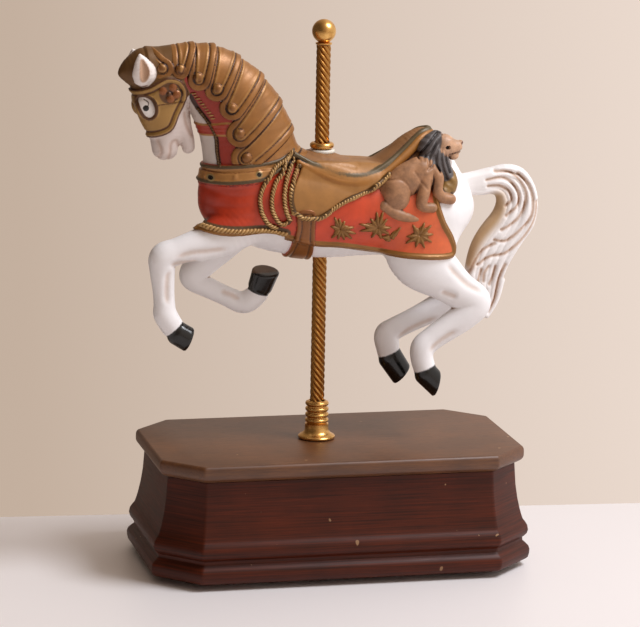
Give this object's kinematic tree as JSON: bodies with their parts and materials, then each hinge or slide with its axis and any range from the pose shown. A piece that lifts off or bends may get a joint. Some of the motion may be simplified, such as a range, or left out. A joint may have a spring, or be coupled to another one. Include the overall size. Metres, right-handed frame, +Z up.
{
  "type": "carousel horse figurine",
  "caption": "Painted porcelain carousel horse in gilded armour, leaping on a twisted brass pole with a ball top, on a dark wooden box base with cut corners.",
  "frame": {"origin": "on the floor under the middle of the base, at the underside of the feet", "axes": "+X towards the tail, so the horse faces -X; -Y is the near side with the lion; +Z up along the pole"},
  "size_m": [0.1864, 0.0954, 0.2355],
  "materials": {
    "case_wood": "dark mahogany stain, satin, lightly chipped",
    "top_wood": "dark brown stain, satin sheen",
    "foot_rubber": "matte black",
    "brass": "polished, warm",
    "painted_porcelain": "unglazed white porcelain with gold, red, brown and black paint and a brown wash in the grooves",
    "white_washer": "off-white, satin"
  },
  "bodies": {
    "root": {"base_case": "case_wood", "base_top": "top_wood", "foot_front_left": "foot_rubber", "foot_front_right": "foot_rubber", "foot_back_left": "foot_rubber", "foot_back_right": "foot_rubber", "ferrule": "brass", "pole": "brass", "horse": "painted_porcelain", "washer": "white_washer", "collar": "brass", "finial": "brass"}
  },
  "joints": []
}
